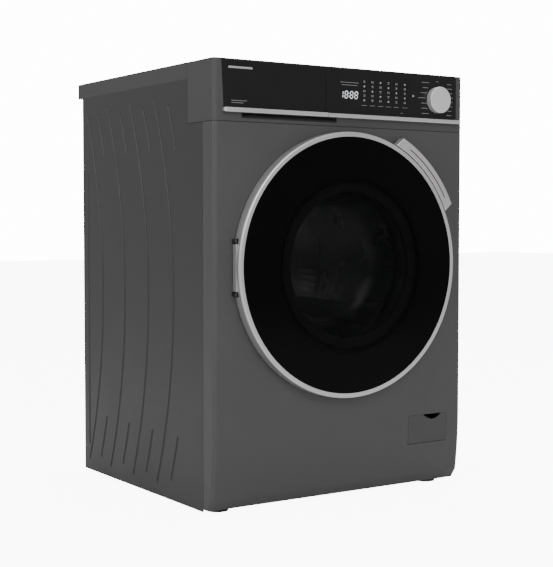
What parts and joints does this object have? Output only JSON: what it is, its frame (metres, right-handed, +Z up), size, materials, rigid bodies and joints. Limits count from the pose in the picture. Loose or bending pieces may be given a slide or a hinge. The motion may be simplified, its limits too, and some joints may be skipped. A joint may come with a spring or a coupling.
{
  "type": "front load washing machine",
  "caption": "Floor standing front loading washing machine with a round glass door, knob, display panel and pull-out detergent drawer.",
  "frame": {"origin": "middle of the footprint on the floor", "axes": "+Z up, -Y out of the front with the door, +X to the right seen from the front"},
  "size_m": [0.597, 0.605, 0.845],
  "materials": {
    "cabinet_paint": "satin dark graphite paint",
    "front_paint": "satin dark graphite paint",
    "front_plastic": "satin dark graphite",
    "galvanised": "galvanised sheet",
    "zinc": "zinc plated",
    "black_plastic": "matt",
    "worktop_grey": "satin dark graphite",
    "fascia_plastic": "satin dark graphite",
    "panel_glass": "gloss, printed from behind",
    "silver_trim": "satin silver lacquer",
    "silver_ring": "satin silver lacquer",
    "board": "solder mask",
    "white_plastic": "moulded",
    "blue_plastic": "moulded",
    "black_rubber": "matt",
    "grey_rubber": "matt",
    "door_glass": "dark tinted, gloss",
    "clear_glass": "clear, gloss",
    "red_inlay": "satin",
    "tub_plastic": "moulded, glass filled",
    "concrete": "cast weight",
    "bearing_steel": "ground",
    "drum_steel": "brushed stainless",
    "cast_aluminium": "as cast",
    "motor_iron": "dipped",
    "spring_steel": "oiled",
    "foot_plastic": "moulded"
  },
  "bodies": {
    "cabinet": {"side_left": "cabinet_paint", "side_right": "cabinet_paint", "front_panel": "front_paint", "rear_panel": "galvanised", "rear_screws": "zinc", "rear_grommets": "black_plastic", "base_tray": "galvanised", "worktop": "worktop_grey", "top_braces": "galvanised", "fascia": "fascia_plastic", "control_glass": "panel_glass", "trim_strip": "silver_trim", "control_board": "board", "dispenser_housing": "white_plastic", "inlet_valve": "white_plastic", "inlet_hose": "black_rubber", "pressure_switch": "white_plastic", "hinge_bracket": "black_plastic", "door_lock": "black_plastic", "gasket": "grey_rubber", "damper_cylinders": "black_plastic", "pump_housing": "white_plastic", "flap_frame": "black_plastic", "suspension_springs": "spring_steel", "dispenser_hose": "black_rubber", "sump_hose": "black_rubber"},
    "tub": {"tub_front": "tub_plastic", "tub_rear": "tub_plastic", "tub_seal": "black_rubber", "counterweights": "concrete", "bearings": "bearing_steel", "heater": "bearing_steel", "motor_housing": "motor_iron", "damper_rods": "bearing_steel", "drive_belt": "black_rubber"},
    "drum": {"drum_shell": "drum_steel", "drum_lifters": "white_plastic", "drum_spider": "cast_aluminium", "drum_pulley": "cast_aluminium"},
    "motor_rotor": {"motor_shaft": "bearing_steel"},
    "door": {"door_ring": "silver_ring", "door_glass": "door_glass", "door_frame": "black_plastic", "door_bowl": "clear_glass", "door_hinge": "silver_ring"},
    "handle": {"door_handle": "silver_ring", "handle_inlay": "red_inlay"},
    "latch": {"latch_hook": "zinc"},
    "knob": {"selector_knob": "silver_trim"},
    "drawer": {"drawer_front": "panel_glass", "drawer_trim": "silver_trim", "drawer_tray": "white_plastic", "siphon_cap": "blue_plastic"},
    "flap": {"service_flap": "front_plastic"},
    "filter": {"filter_plug": "white_plastic"},
    "impeller": {"pump_impeller": "black_plastic"},
    "foot_fl": {"foot_front_left": "foot_plastic"},
    "foot_fr": {"foot_front_right": "foot_plastic"},
    "foot_rl": {"foot_rear_left": "foot_plastic"},
    "foot_rr": {"foot_rear_right": "foot_plastic"}
  },
  "joints": [
    {"name": "door_swing", "type": "hinge", "parent": "cabinet", "child": "door", "pos_m": [-0.2555, -0.288, 0.462], "axis": [0, 0, -1], "range_deg": [0, 120]},
    {"name": "handle_pull", "type": "hinge", "parent": "door", "child": "handle", "pos_m": [0.169, -0.293, 0.631], "axis": [0.7071, 0, -0.7071], "range_deg": [0, 5], "stiffness_Nm_per_rad": 6, "springref_deg": -2.86},
    {"name": "latch_turn", "type": "hinge", "parent": "door", "child": "latch", "pos_m": [0.222, -0.29, 0.462], "axis": [0, 0, 1], "range_deg": [0, 5]},
    {"name": "drum_spin", "type": "hinge", "parent": "tub", "child": "drum", "pos_m": [0, 0, 0.462], "axis": [0, 1, 0], "continuous": true},
    {"name": "motor_spin", "type": "hinge", "parent": "tub", "child": "motor_rotor", "pos_m": [0, 0, 0.115], "axis": [0, 1, 0], "continuous": true},
    {"name": "tub_bounce", "type": "slide", "parent": "cabinet", "child": "tub", "axis": [0, 0, 1], "range_m": [-0.01, 0.01], "stiffness_N_per_m": 9000, "springref_m": 0.0327, "deforming": ["suspension_springs", "gasket", "dispenser_hose", "sump_hose"]},
    {"name": "knob_turn", "type": "hinge", "parent": "cabinet", "child": "knob", "pos_m": [0.229, -0.29, 0.7935], "axis": [0, -1, 0], "continuous": true},
    {"name": "drawer_slide", "type": "slide", "parent": "cabinet", "child": "drawer", "axis": [0, -1, 0], "range_m": [0, 0.2]},
    {"name": "flap_swing", "type": "hinge", "parent": "cabinet", "child": "flap", "pos_m": [0.211, -0.27655, 0.09475], "axis": [1, 0, 0], "range_deg": [0, 90]},
    {"name": "filter_turn", "type": "hinge", "parent": "cabinet", "child": "filter", "pos_m": [0.211, -0.255, 0.122], "axis": [0, -1, 0], "range_deg": [0, 90]},
    {"name": "impeller_spin", "type": "hinge", "parent": "cabinet", "child": "impeller", "pos_m": [0.211, -0.17, 0.122], "axis": [0, 1, 0], "continuous": true},
    {"name": "foot_fl_extend", "type": "slide", "parent": "cabinet", "child": "foot_fl", "axis": [0, 0, -1], "range_m": [0, 0.012]},
    {"name": "foot_fr_extend", "type": "slide", "parent": "cabinet", "child": "foot_fr", "axis": [0, 0, -1], "range_m": [0, 0.012]},
    {"name": "foot_rl_extend", "type": "slide", "parent": "cabinet", "child": "foot_rl", "axis": [0, 0, -1], "range_m": [0, 0.012]},
    {"name": "foot_rr_extend", "type": "slide", "parent": "cabinet", "child": "foot_rr", "axis": [0, 0, -1], "range_m": [0, 0.012]}
  ],
  "couplings": [
    {"joint": "motor_spin", "follows": "drum_spin", "ratio": 13.333},
    {"joint": "latch_turn", "follows": "handle_pull", "ratio": 1}
  ]
}
